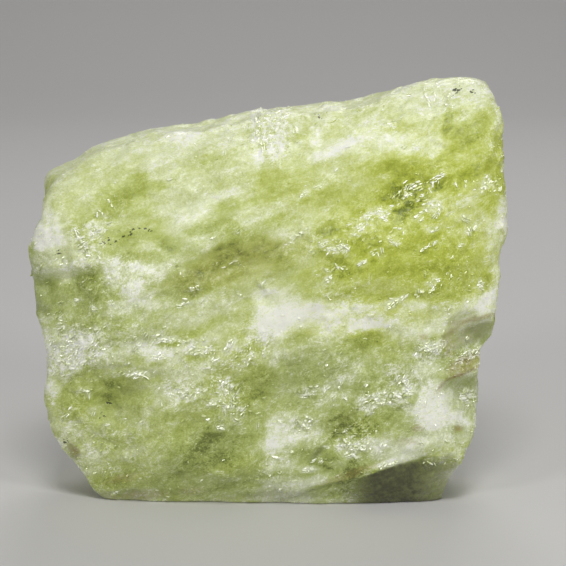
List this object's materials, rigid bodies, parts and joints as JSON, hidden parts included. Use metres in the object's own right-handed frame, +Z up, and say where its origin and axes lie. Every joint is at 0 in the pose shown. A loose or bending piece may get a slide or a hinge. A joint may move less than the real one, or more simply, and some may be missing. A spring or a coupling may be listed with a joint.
{
  "type": "raw citrine",
  "caption": "Raw citrine: one thick, broken chunk of massive cloudy yellow-green quartz that stands on its flat lower edge.",
  "frame": {"origin": "centre of the bounding box at its bottom, on the flat lower edge that the stone rests on", "axes": "+X to the right as seen from the front, -Y out of the front, +Z up"},
  "size_m": [0.12, 0.054, 0.107],
  "materials": {
    "citrine": "massive quartz, cloudy yellow-green with milky white veils, translucent, sugary broken surface with small glints"
  },
  "bodies": {
    "root": {"raw_citrine": "citrine"}
  },
  "joints": []
}
